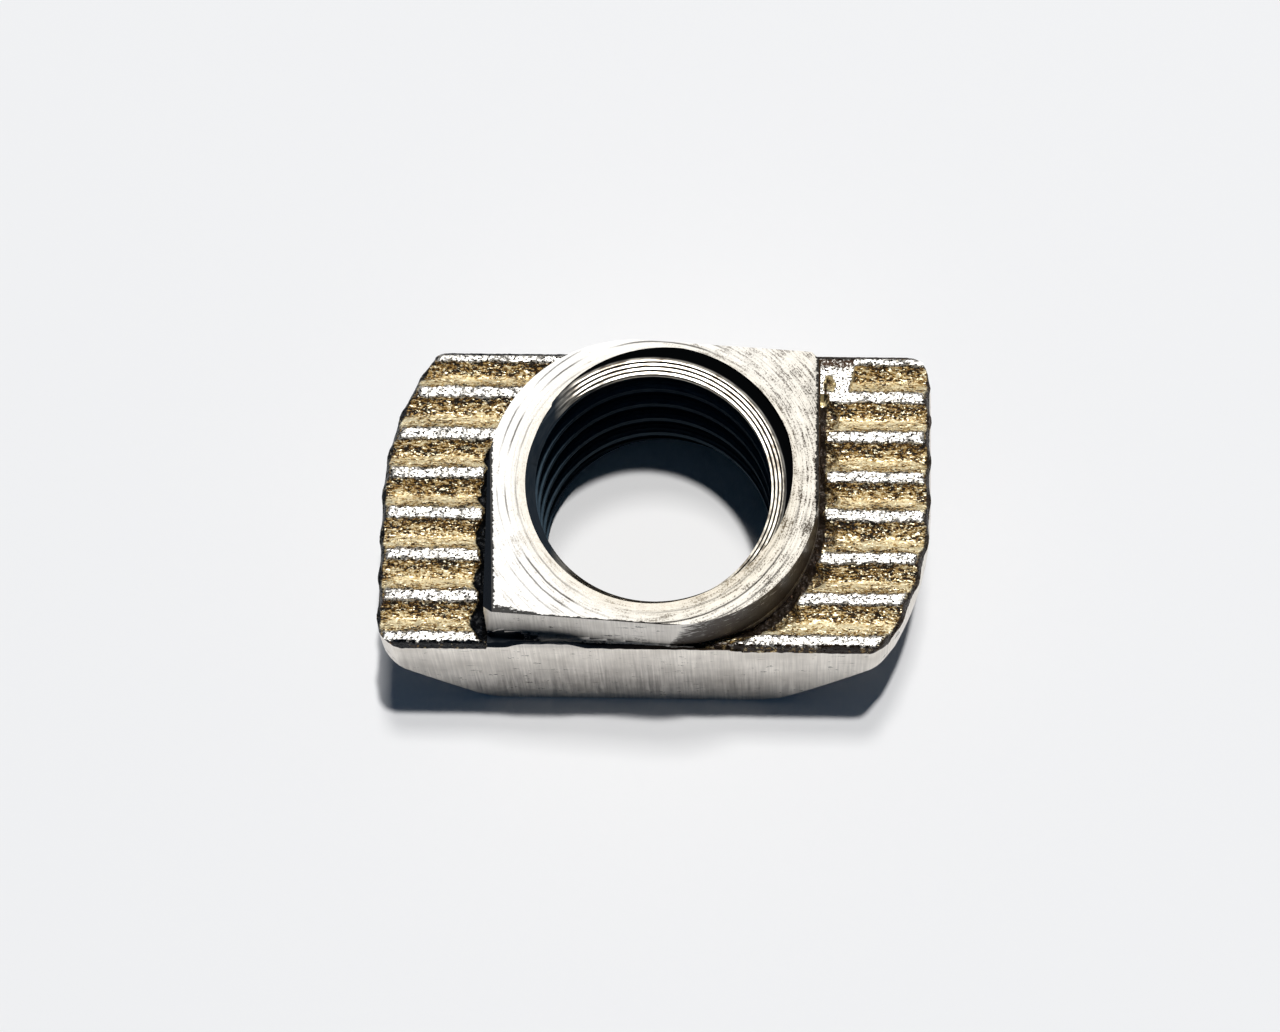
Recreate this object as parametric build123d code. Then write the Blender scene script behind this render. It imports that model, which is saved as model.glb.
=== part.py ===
from build123d import *
import os
from math import ceil, cos, radians, sin

os.makedirs("parts", exist_ok=True)

# Drop-in (hammer head) T-nut for an aluminium profile with a 6 mm slot, tapped M5 x 0.8.
# Frame: origin at the centre of the underside, +X along the head, +Y across it, +Z up along the
# bore and out through the collar. Millimetres.

# ------------------------------------------------------------------ driving dimensions
head_length = 9.84           # over the two straight ends of the head
body_width = 5.58            # slips between the slot lips
wing_height = 3.33           # underside to the serration crests
corner_radius = 0.45         # four upright corners of the head

underside_half_flat = 3.50   # bore axis to the edge of the flat underside, along X
underside_half_corner = 3.09 # the same at the two square corners of the head
bevel_rise = 2.42            # underside to the foot of the upright end wall, along X
bevel_rise_corner = 2.39     # the same at the two square corners
knuckle_radius = 0.50        # rounding between the flat underside and its end bevels
end_edge_radius = 0.18       # rounding of the top edge of each end wall

collar_rise = 1.22           # collar above the crests, a little less than the slot lip
collar_length = 5.90         # over the two collar sides that guide on the slot lips
collar_width = 5.27          # over the two turned collar faces
collar_offset = -0.05        # collar and bore axis, off the middle of the head, along Y
collar_turn = 3.7            # degrees that those two faces are turned clockwise
collar_round = 2.60          # the two rounded corners that let the head swing round
collar_break_left = 0.17     # bevel on top of the left side at its front, fading to the rear
collar_break_right = 0.04    # the same on the right side at its rear, fading to the front
collar_break_length = 3.80   # over which both fade
collar_facet = 0.22          # tapered facet down each square corner of the collar
groove_width = 0.15          # groove that the serrations end in, beside the foot of the collar
groove_depth = 0.32
groove_span = 4.20           # along Y

serration_pitch = 0.762
crest_inset = 0.03           # +Y edge of the head to the middle of the first crest
crest_width = 0.16           # flat left on top of each ridge
valley_depth = 0.27
valley_lowest = 0.46         # share of the valley's width from its rear edge to its bottom
valley_radius = 0.08         # rounding of that bottom
land_length = 0.62           # smeared land beside one collar corner, along X at its rear
land_length_front = 0.50     # the same at its front
land_width = 0.76            # along Y

bore_diameter = 4.20         # tapping size for M5 x 0.8
mouth_diameter = 4.54        # top countersink
underside_mouth_diameter = 5.20
countersink_angle = 90.0     # included angle of both countersinks

# ------------------------------------------------------------------ derived sizes
half_length = head_length / 2
half_width = body_width / 2
total_height = wing_height + collar_rise
cutter_reach = head_length + body_width + total_height


def head_profile(half_flat, rise):
    """Upright half section of the head, from the bore axis out to one end wall."""
    with BuildSketch(Plane.XZ) as sketch:
        with BuildLine():
            Polyline(
                (0, 0),
                (half_flat, 0),
                (half_length, rise),
                (half_length, wing_height),
                (0, wing_height),
                close=True,
            )
        make_face()
        knuckle = sketch.vertices().sort_by_distance(Vector(half_flat, 0, 0))[0]
        fillet(knuckle, knuckle_radius)
        rim = sketch.vertices().sort_by_distance(Vector(half_length, wing_height, 0))[0]
        fillet(rim, end_edge_radius)
    return sketch.sketch.face()


def plan_outline():
    """Head seen from above: straight ends, and arcs about the bore axis at two corners."""
    sheet = Rectangle(head_length, body_width)
    round_corners = Pos(-half_length / 2, half_width / 2) * Rectangle(half_length, half_width)
    round_corners += Pos(half_length / 2, -half_width / 2) * Rectangle(half_length, half_width)
    outline = (sheet - round_corners) + (round_corners & Circle(half_length))
    x_arc = (half_length**2 - half_width**2) ** 0.5
    corners = [
        outline.vertices().sort_by_distance(Vector(x, y, 0))[0]
        for x, y in (
            (-half_length, -half_width),
            (half_length, half_width),
            (-x_arc, half_width),
            (x_arc, -half_width),
        )
    ]
    return fillet(corners, corner_radius)


def head():
    """Head with bevelled underside: revolved at its two arcs, lofted at its two straight ends."""
    middle = head_profile(underside_half_flat, bevel_rise)
    corner = Pos(0, half_width, 0) * head_profile(underside_half_corner, bevel_rise_corner)
    straight = loft([middle, corner], ruled=True)
    curved = revolve(middle, Axis.Z, revolution_arc=-90)
    if curved.bounding_box().center().Y > 0:
        curved = mirror(curved, Plane.XZ)
    end = straight + curved
    both = end + Rot(0, 0, 180) * end
    return both & extrude(plan_outline(), wing_height)


def collar_outline(grow=0.0):
    """Collar seen from above: guide sides along Y, faces turned, two rounded corners."""
    a = collar_length / 2 + grow
    b = collar_width / 2 + grow
    s, c = sin(radians(collar_turn)), cos(radians(collar_turn))
    rear_left, front_left = (-a, (b + a * s) / c), (-a, (a * s - b) / c)
    front_right, rear_right = (a, -(b + a * s) / c), (a, (b - a * s) / c)
    with BuildSketch() as sketch:
        with BuildLine():
            Polyline(rear_left, front_left, front_right, rear_right, close=True)
        make_face()
        rounded = [
            sketch.vertices().sort_by_distance(Vector(*p, 0))[0]
            for p in (rear_left, front_right)
        ]
        fillet(rounded, collar_round + grow)
    return sketch.sketch


def beyond(one, two, three):
    """Everything outside a plane through three points of the collar's left end, as a block."""
    out = (two - one).cross(three - one)
    if out.X > 0:
        out = out * -1
    size = cutter_reach
    block = Box(size, size, size, align=(Align.CENTER, Align.CENTER, Align.MIN))
    return Plane(origin=one, z_dir=out) * block


def collar():
    """Collar, rising out of the head, with bevelled guide sides and faceted square corners."""
    block = Pos(0, 0, wing_height / 2) * extrude(
        collar_outline(), total_height - wing_height / 2
    )
    a = collar_length / 2
    front = (a * sin(radians(collar_turn)) - collar_width / 2) / cos(radians(collar_turn))
    top_x = Vector(-a + collar_facet / 2**0.5, front, total_height)
    top_y = Vector(-a, front + collar_facet / 2**0.5, total_height)
    facet = beyond(Vector(-a, front, wing_height), top_x, top_y)
    fade = Vector(-a, front + collar_break_length, total_height)
    for turn, size in ((0, collar_break_left), (180, collar_break_right)):
        low = Vector(-a, front, total_height - size)
        high = Vector(-a + size, front, total_height)
        block -= Rot(0, 0, turn) * facet
        block -= Rot(0, 0, turn) * beyond(low, high, fade)
    return Pos(0, collar_offset, 0) * block


def land():
    """Area beside the rear right collar corner where the ridges were smeared flat."""
    x0 = collar_length / 2
    rear, front = half_width + crest_width, half_width - land_width
    with BuildSketch() as sketch:
        with BuildLine():
            Polyline(
                (x0 / 2, rear),
                (x0 + land_length, rear),
                (x0 + land_length_front, front),
                (x0 / 2, front),
                close=True,
            )
        make_face()
    return extrude(sketch.sketch, total_height)


def groove_cutter():
    """Groove beside the collar's sides and round corners, which the serrations run out into."""
    ring = Pos(0, collar_offset) * (collar_outline(groove_width) - collar_outline())
    ring &= Rectangle(head_length, groove_span)
    return Pos(0, 0, wing_height - groove_depth) * extrude(ring, total_height)


def serration_cutter():
    """Row of V-shaped valleys along X, the first crest lying on the +Y edge of the head."""
    chord = serration_pitch - crest_width
    valleys = ceil((body_width - crest_inset) / serration_pitch)
    comb = Sketch()
    for k in range(valleys):
        rear = half_width - crest_inset - crest_width / 2 - serration_pitch * k
        with BuildSketch(Plane.YZ) as valley:
            with BuildLine():
                Polyline(
                    (rear, total_height),
                    (rear, wing_height),
                    (rear - chord * valley_lowest, wing_height - valley_depth),
                    (rear - chord, wing_height),
                    (rear - chord, total_height),
                    close=True,
                )
            make_face()
            fillet(valley.vertices().sort_by(Axis.Z)[0], valley_radius)
        comb += valley.sketch
    return extrude(comb, head_length, both=True) - land()


def bore_cutter():
    """Tapping bore with a countersink at each mouth, turned about the bore axis."""
    r = bore_diameter / 2
    slope = 1 / sin(radians(countersink_angle / 2)) * cos(radians(countersink_angle / 2))
    top_depth = (mouth_diameter / 2 - r) * slope
    low_depth = (underside_mouth_diameter / 2 - r) * slope
    over = bore_diameter / 4
    with BuildSketch(Plane.XZ) as sketch:
        with BuildLine():
            Polyline(
                (0, -over),
                (underside_mouth_diameter / 2, -over),
                (underside_mouth_diameter / 2, 0),
                (r, low_depth),
                (r, total_height - top_depth),
                (mouth_diameter / 2, total_height),
                (mouth_diameter / 2, total_height + over),
                (0, total_height + over),
                close=True,
            )
        make_face()
    return Pos(0, collar_offset, 0) * revolve(sketch.sketch, Axis.Z)


def nut_body():
    """The whole nut, one cold-formed piece."""
    serrated = head() - serration_cutter() - groove_cutter()
    return serrated + collar() - bore_cutter()


nut = nut_body().clean()
nut.label = "nut_body"
box = nut.bounding_box()
print("solids", len(nut.solids()), "faces", len(nut.faces()), "volume", round(nut.volume, 2))
print("size", [round(v, 3) for v in (box.size.X, box.size.Y, box.size.Z)])
export_step(nut, "parts/nut_body.step")
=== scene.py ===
"""A nickel-plated drop-in T-nut, dressed for its portrait on white paper.

Sizes are in millimetres while a shape is made, and become metres when it is finished. The
finishes read their places in millimetres too.
"""

import logging
import math
from collections.abc import Callable, Iterable
from dataclasses import dataclass, field
from enum import Enum, IntEnum
from functools import partial
from typing import Any

import bmesh
import bpy
from mathutils import Matrix, Vector, noise


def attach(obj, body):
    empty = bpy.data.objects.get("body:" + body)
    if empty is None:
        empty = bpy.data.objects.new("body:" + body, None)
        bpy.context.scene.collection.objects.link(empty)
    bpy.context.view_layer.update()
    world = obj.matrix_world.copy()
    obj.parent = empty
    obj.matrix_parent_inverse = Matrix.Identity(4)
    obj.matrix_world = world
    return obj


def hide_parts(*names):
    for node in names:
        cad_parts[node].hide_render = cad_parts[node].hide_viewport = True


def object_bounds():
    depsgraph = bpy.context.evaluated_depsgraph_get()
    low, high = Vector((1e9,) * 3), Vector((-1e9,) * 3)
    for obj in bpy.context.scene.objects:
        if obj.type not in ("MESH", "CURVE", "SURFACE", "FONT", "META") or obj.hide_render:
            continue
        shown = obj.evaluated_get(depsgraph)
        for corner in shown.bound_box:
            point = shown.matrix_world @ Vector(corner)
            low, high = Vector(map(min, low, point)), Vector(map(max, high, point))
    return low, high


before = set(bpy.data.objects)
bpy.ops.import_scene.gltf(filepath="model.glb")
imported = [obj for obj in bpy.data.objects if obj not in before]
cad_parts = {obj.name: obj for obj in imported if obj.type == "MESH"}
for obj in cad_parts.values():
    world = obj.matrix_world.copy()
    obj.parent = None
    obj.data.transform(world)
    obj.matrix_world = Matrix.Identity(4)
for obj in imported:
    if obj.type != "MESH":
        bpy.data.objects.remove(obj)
CAD_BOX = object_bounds()

LOG = logging.getLogger("t_nut")
MM = 0.001
LENGTH, WIDTH, HEIGHT = (round((high - low) / MM, 3) for low, high in zip(*CAD_BOX))
CREST_HEIGHT = 3.33
AXIS_Y = -0.05
FULL_TURN = 2 * math.pi
WELD = 1e-4
SLIVER = 1e-3
SHADE_AND_SOIL = "shade_and_soil"
PAINTED_LIGHT = "tone"

Node = Callable[..., Any]
Triple = tuple[float, float, float]


class Zone(IntEnum):
    """Surfaces of the nut that were made in different ways, as material indices."""

    FORMED = 0
    SERRATED = 1
    MACHINED = 2
    TAPPED = 3


class Cut(Enum):
    """How one solid acts on another."""

    JOIN = "UNION"
    REMOVE = "DIFFERENCE"
    KEEP = "INTERSECT"


# ---------------------------------------------------------------- small shared tools
def smoothstep(low: float, high: float, value: float) -> float:
    """Eases from 0 at low to 1 at high, and is held beyond both."""
    t = min(1.0, max(0.0, (value - low) / (high - low)))
    return t * t * (3 - 2 * t)


def ripple(x: float, y: float, z: float, size: float) -> float:
    """Reads noise with lumps of one size, from -1 to 1; a fixed z picks a pattern of its own."""
    return noise.noise(Vector((x, y, z)) / size)


def read_curve(stops: tuple[tuple[float, float], ...], place: float) -> float:
    """Reads a curve made of straight stretches.

    Args:
        stops: Place and value of each knee, in order.
        place: Where it is read.

    Returns:
        The value, held beyond both ends.
    """
    if place <= stops[0][0]:
        return stops[0][1]
    for (low, at_low), (high, at_high) in zip(stops, stops[1:]):
        if place < high:
            return at_low + (at_high - at_low) * (place - low) / (high - low)
    return stops[-1][1]


def draw_line(bm: bmesh.types.BMesh, points: Iterable[tuple[float, float]]) -> list[Any]:
    """Draws a line in the XZ plane.

    Args:
        bm: Takes up the line.
        points: X and Z of each of its points.

    Returns:
        Its vertices.
    """
    chain = [bm.verts.new((x, 0, z)) for x, z in points]
    for one, two in zip(chain, chain[1:]):
        bm.edges.new((one, two))
    return chain


def spin(bm: bmesh.types.BMesh, turns: int, steps: int, rise: float, merge: bool) -> None:
    """Turns a drawn line about Z, level or as a helix.

    Args:
        bm: Holds the line.
        turns: How many full turns.
        steps: How many steps each turn has.
        rise: How far it climbs in each step.
        merge: Whether the end meets the start.
    """
    line = bm.verts[:] + bm.edges[:]
    bmesh.ops.spin(bm, geom=line, cent=(0, 0, 0), axis=(0, 0, 1), dvec=(0, 0, rise),
                   angle=FULL_TURN * turns, steps=steps * turns, use_merge=merge)


def cap(bm: bmesh.types.BMesh) -> list[Any]:
    """Closes every open rim, and hands back the new faces."""
    rim = [e for e in bm.edges if e.is_boundary]
    return bmesh.ops.holes_fill(bm, edges=rim, sides=0)["faces"] if rim else []


def mark(faces: Iterable[Any], zone: Zone) -> None:
    """Gives faces to one of the nut's surfaces."""
    for face in faces:
        face.material_index = zone


def shave(bm: bmesh.types.BMesh, point: Vector, normal: Vector, zone: Zone) -> None:
    """Planes off everything beyond a flat cut and closes the solid there.

    Args:
        bm: The closed solid.
        point: A point on the cut.
        normal: The way the removed side lies.
        zone: The surface that the new face belongs to.
    """
    solid = bm.verts[:] + bm.edges[:] + bm.faces[:]
    bmesh.ops.bisect_plane(
        bm, geom=solid, dist=WELD, plane_co=point, plane_no=normal, clear_outer=True
    )
    mark(cap(bm), zone)


def soften(bm: bmesh.types.BMesh, parts: Iterable[Any], offset: float, segments: int,
           affect: str = "EDGES") -> None:
    """Rounds edges, or the corners of a flat outline.

    Args:
        bm: The solid or the outline.
        parts: The edges or vertices to round.
        offset: How far the rounding reaches from each.
        segments: How many facets it has.
        affect: EDGES or VERTICES.
    """
    bmesh.ops.bevel(bm, geom=list(parts), offset=offset, affect=affect, segments=segments,
                    profile=0.5, material=-1, clamp_overlap=affect == "EDGES")


def sharp_edges(bm: bmesh.types.BMesh, angle: float, floor: float) -> list[Any]:
    """Finds the edges above a floor whose faces meet at more than an angle."""
    return [
        e for e in bm.edges
        if len(e.link_faces) == 2
        and e.calc_face_angle() > angle
        and min(v.co.z for v in e.verts) > floor
    ]


def settle(bm: bmesh.types.BMesh) -> None:
    """Puts a solid's parts in an order that only their places decide.

    The operators' own order varies from run to run, and so would the rounding of later cuts.

    Args:
        bm: The closed solid.
    """
    verts = sorted(bm.verts, key=lambda v: tuple(v.co))
    rank = {vert: k for k, vert in enumerate(verts)}
    rings = []
    for face in bm.faces:
        ring = [rank[vert] for vert in face.verts]
        start = ring.index(min(ring))
        rings.append((ring[start:] + ring[:start], face.material_index))
    places = [vert.co.copy() for vert in verts]
    bm.clear()
    verts = [bm.verts.new(place) for place in places]
    for ring, zone in sorted(rings):
        corners = [verts[k] for k in ring]
        if bm.faces.get(corners) is None:
            bm.faces.new(corners).material_index = zone
    bm.normal_update()


def as_object(bm: bmesh.types.BMesh, name: str) -> bpy.types.Object:
    """Turns a finished bmesh into an object in the scene.

    Args:
        bm: The solid, which is freed.
        name: The object's name.

    Returns:
        The new object.
    """
    settle(bm)
    bmesh.ops.recalc_face_normals(bm, faces=bm.faces[:])
    mesh = bpy.data.meshes.new(name)
    bm.to_mesh(mesh)
    bm.free()
    for _ in Zone:
        mesh.materials.append(None)
    made = bpy.data.objects.new(name, mesh)
    bpy.context.scene.collection.objects.link(made)
    return made


def combine(body: bpy.types.Object, tool: bpy.types.Object, cut: Cut) -> None:
    """Joins a tool solid to a body, or cuts with it, and removes the tool.

    Args:
        body: The solid that is changed.
        tool: The solid that acts on it.
        cut: What the tool does.
    """
    step = body.modifiers.new("combine", "BOOLEAN")
    step.operation, step.solver, step.object = cut.value, "MANIFOLD", tool
    graph = bpy.context.evaluated_depsgraph_get()
    made = bpy.data.meshes.new_from_object(body.evaluated_get(graph))
    body.modifiers.remove(step)
    old, body.data = body.data, made
    bpy.data.meshes.remove(old)
    bpy.data.meshes.remove(tool.data)
    LOG.info("%s %s: %d faces", cut.name.lower(), body.name, len(made.polygons))


# ---------------------------------------------------------------- finishes
def linear(code: str) -> tuple[float, float, float, float]:
    """Turns an sRGB hex colour into the linear colour that a shader wants.

    Args:
        code: Six hex digits after a hash.

    Returns:
        Red, green, blue and an alpha of one.
    """
    parts = (int(code[i : i + 2], 16) / 255 for i in (1, 3, 5))
    red, green, blue = (
        p / 12.92 if p <= 0.04045 else ((p + 0.055) / 1.055) ** 2.4 for p in parts
    )
    return (red, green, blue, 1.0)


def add(tree: bpy.types.NodeTree, kind: str, feeds: Any = (), out: Any = 0, **settings: Any) -> Any:
    """Adds one node with its settings, values and links.

    Args:
        tree: The node tree.
        kind: The node's type name without its ShaderNode prefix.
        feeds: Outputs, values or hex colours for its inputs, in order or by name.
        out: Number or name of the output that is wanted, or None for the node itself.
        **settings: Properties of the node, which also say which of its sockets are in use.

    Returns:
        The output or the node.
    """
    node = tree.nodes.new("ShaderNode" + kind)
    for name, value in settings.items():
        setattr(node, name, value)
    inputs = [socket for socket in node.inputs if socket.enabled]
    for name, value in feeds.items() if isinstance(feeds, dict) else enumerate(feeds):
        socket = node.inputs[name] if isinstance(name, str) else inputs[name]
        if isinstance(value, bpy.types.NodeSocket):
            tree.links.new(value, socket)
        else:
            socket.default_value = linear(value) if isinstance(value, str) else value
    if out is None:
        return node
    if isinstance(out, str):
        return node.outputs[out]
    return [socket for socket in node.outputs if socket.enabled][out]


def gather(node: Node, how: str, first: Any, *others: Any) -> Any:
    """Runs one sum over several outputs or values in turn.

    Args:
        node: Adds a node to the tree.
        how: The operation.
        first: The first output.
        *others: What it is combined with.

    Returns:
        The result.
    """
    for other in others:
        first = node("Math", (first, other), operation=how)
    return first


def coat(node: Node, base: Any, *coats: tuple[Any, Any]) -> Any:
    """Lays coats of colour over one another.

    Args:
        node: Adds a node to the tree.
        base: The lowest colour.
        *coats: How much of each coat shows, and its colour, from the lowest up.

    Returns:
        The colour on top.
    """
    for share, colour in coats:
        base = node("Mix", (share, base, colour), data_type="RGBA")
    return base


def grain(node: Node, place: Any, size: float | Triple, detail: float = 3.0,
          rough: float = 0.55) -> Any:
    """Adds noise whose lumps have a given size.

    Args:
        node: Adds a node to the tree.
        place: The coordinates it is read at, in millimetres.
        size: Lump size in millimetres, all round or along X, Y and Z.
        detail: How many finer layers it has.
        rough: How strong those layers are.

    Returns:
        The noise output, from 0 to 1.
    """
    sizes = size if isinstance(size, tuple) else (size, size, size)
    spot = node("VectorMath", (place, tuple(1 / s for s in sizes)), operation="MULTIPLY")
    feeds = {"Vector": spot, "Scale": 1.0, "Detail": detail, "Roughness": rough}
    return node("TexNoise", feeds, "Fac")


def off_line(node: Node, place: Any, middle: float) -> Any:
    """Measures how far an output is from a middle value, either way."""
    return node("Math", (node("Math", (place, middle), operation="SUBTRACT"),), operation="ABSOLUTE")


def from_axis(node: Node, place: Any) -> Any:
    """Measures the distance from the bore's axis, in millimetres."""
    flat = node("VectorMath", (place, (1, 1, 0), (0, -AXIS_Y, 0)), operation="MULTIPLY_ADD")
    return node("VectorMath", (flat,), operation="LENGTH")


@dataclass(frozen=True)
class Finish:
    """What every finish shares."""

    name: str
    roughness: float

    def material(self) -> bpy.types.Material:
        """Makes the material from what the finish says of its colour, gloss and relief.

        Returns:
            The finished material.
        """
        made = bpy.data.materials.new(self.name)
        made.use_nodes = True
        made.node_tree.nodes.clear()
        node = partial(add, made.node_tree)
        metres = node("TexCoord", out="Object")
        place = node("VectorMath", (metres, 1 / MM), operation="SCALE")
        looks = {"Metallic": 1.0, "Roughness": self.roughness, **self.looks(node, place)}
        node("OutputMaterial", (node("BsdfPrincipled", looks),), None)
        return made

    def looks(self, node: Node, place: Any) -> dict[str, Any]:
        """Adds the finish's own colour, gloss and relief.

        Args:
            node: Adds a node to the tree.
            place: Object coordinates, in millimetres.

        Returns:
            Name of each shader input to what feeds it.
        """
        raise NotImplementedError

    @staticmethod
    def shade_and_soil(node: Node, place: Any) -> Any:
        """Reads the painted shade and staining noted on the mesh and breaks its edge up.

        Args:
            node: Adds a node to the tree.
            place: Object coordinates, in millimetres.

        Returns:
            The painted shade and staining, from 0 to 1.
        """
        # Painted shade and staining, as noted on the mesh.
        note = node("Attribute", out="Fac", attribute_name=SHADE_AND_SOIL)
        flecks = grain(node, place, (0.05, 0.05, 0.09), 3.0, 0.6)
        shift = node("MapRange", (flecks, 0.3, 0.7, -0.45, 0.35))
        held = gather(node, "MULTIPLY", gather(node, "ADD", note, shift), note)
        return node("MapRange", (held, 0.15, 0.7))


@dataclass(frozen=True)
class MattPaper(Finish):
    """Uncoated white paper: an even matt white with hardly a sheen."""

    white: str = "#F0EFEE"

    def looks(self, node: Node, place: Any) -> dict[str, Any]:
        """Hands back one plain colour and a faint gloss."""
        return {"Base Color": self.white, "Metallic": 0.0, "Specular IOR Level": 0.2}


@dataclass(frozen=True)
class ColdFormedNickel(Finish):
    """Nickel plate over cold-formed steel: satin, drawn upright by the press, and pitted.

    The collar's wall is given half the metal of the rest, so that it keeps its own pale colour
    where it would mirror the strip at its foot, which is painted black as shade. Where painted shade
    and dirt lie it is matt.
    """

    light: str = "#FBF5EC"
    dark: str = "#C2BBB1"
    speck: str = "#3A342E"
    # Painted shade and staining colours, for the left and the right.
    left_shade_and_stain: str = "#12181F"
    right_shade_and_stain: str = "#3B2E20"
    # Painted shade for faces that face down.
    under: str = "#4E4A46"
    streak: Triple = (0.035, 0.035, 1.6)
    scratch: Triple = (0.5, 0.5, 0.03)
    pit: Triple = (0.308, 0.308, 0.14)
    patch: float = 0.9
    foot: float = CREST_HEIGHT - 0.05
    foot_shade_mounds: tuple[Triple, ...] = ((-2.25, 0.26, 0.17), (-1.10, 0.35, 0.07))

    def looks(self, node: Node, place: Any) -> dict[str, Any]:
        """Adds upright press streaks, a few level scratches, scattered pits, painted shade on faces
        that face down, and painted shade with dirt in the creases and along the edges.

        Args:
            node: Adds a node to the tree.
            place: Object coordinates, in millimetres.

        Returns:
            Name of each shader input to what feeds it.
        """
        streaks = grain(node, place, self.streak)
        clouds = grain(node, place, self.patch)
        pale = node("MapRange", (gather(node, "MULTIPLY", streaks, clouds), 0.05, 0.42))
        uneven = node("MapRange", (clouds, 0.35, 0.65, -0.05, 0.03))
        pits = gather(node, "ADD", grain(node, place, self.pit, 4.0, 0.75), uneven)
        holes = node("MapRange", (pits, 0.63, 0.66, 0.0, 0.9))
        cuts = node("MapRange", (grain(node, place, self.scratch, 2.0), 0.70, 0.76, 0.0, 0.8))
        marks = gather(node, "MAXIMUM", holes, cuts)
        # Painted shade: faces that face down are darkened.
        upward = node("SeparateXYZ", (node("TexCoord", out="Normal"),), 2)
        below = node("MapRange", (upward, -0.6, -0.2, 0.8, 0.0))
        along, _, height = node("SeparateXYZ", (place,), None).outputs
        # Painted shade and staining: blue-black on the left, brown on the right.
        side = node("MapRange", (along, -1, 1))
        shade_and_stain = coat(node, self.left_shade_and_stain, (side, self.right_shade_and_stain))
        # Painted shade on the strip, the left chamfer and the rounded top edge, and with dirt at the
        # wall's foot.
        shade_and_grime = gather(node, "MAXIMUM", self.shade_and_soil(node, place), self.wall_shade_and_grime(node, place))
        bright_share = node("MapRange", (shade_and_grime, 0.3, 0.95, 1.0, 0.0))
        sheen = node("MapRange", (height, self.foot, self.foot + 0.06, 1.0, 0.5))
        duller, rougher = self.roughness - 0.03, self.roughness + 0.05
        fine = node("Bump", {"Height": streaks, "Strength": 0.4, "Distance": 0.006 * MM})
        deep = {"Height": marks, "Strength": 0.6, "Distance": 0.02 * MM, "Normal": fine}
        return {
            "Base Color": coat(node, self.dark, (pale, self.light), (marks, self.speck),
                               (below, self.under), (shade_and_grime, shade_and_stain)),
            "Metallic": gather(node, "MULTIPLY", sheen, bright_share),
            "Specular IOR Level": node("MapRange", (bright_share, 0, 1, 0.06, 0.5)),
            "Roughness": node("MapRange", (streaks, 0.3, 0.7, duller, rougher)),
            "Normal": node("Bump", deep, invert=True),
        }

    def wall_shade_and_grime(self, node: Node, place: Any) -> Any:
        """Adds ragged dark bands at the foot of the collar's front wall: painted shade in the
        crease, partly dirt.

        They climb to its top round the front right corner.

        Args:
            node: Adds a node to the tree.
            place: Object coordinates, in millimetres.

        Returns:
            The painted shade share, from 0 to 1.
        """
        along, across, height = node("SeparateXYZ", (place,), None).outputs
        reach = node("MapRange", (along, 0.3, 1.3, 0.02, 3.5))
        for middle, half, rise in self.foot_shade_mounds:
            gap = off_line(node, along, middle)
            mound = node("MapRange", (gap, 0.5 * half, 1.5 * half, rise, 0.0))
            reach = gather(node, "ADD", reach, mound)
        up = node("Math", (height, self.foot), operation="SUBTRACT")
        torn = grain(node, place, (0.16, 0.16, 0.05), 4.0, 0.65)
        shift = node("MapRange", (torn, 0.3, 0.7, -0.6, 0.6))
        ragged = gather(node, "ADD", gather(node, "DIVIDE", up, reach), shift)
        # Painted shade in the crease at the wall's foot, climbing the front right corner.
        foot_shade_and_smear = node("MapRange", (ragged, 0.55, 1.0, 0.96, 0.0))
        wall = node("MapRange", (up, -0.02, 0.0))
        behind = node("MapRange", (across, -2.76, -2.74))
        before = node("MapRange", (across, -0.2, 0.5, 1.0, 0.0))
        return gather(node, "MULTIPLY", foot_shade_and_smear, wall, behind, before)


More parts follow.
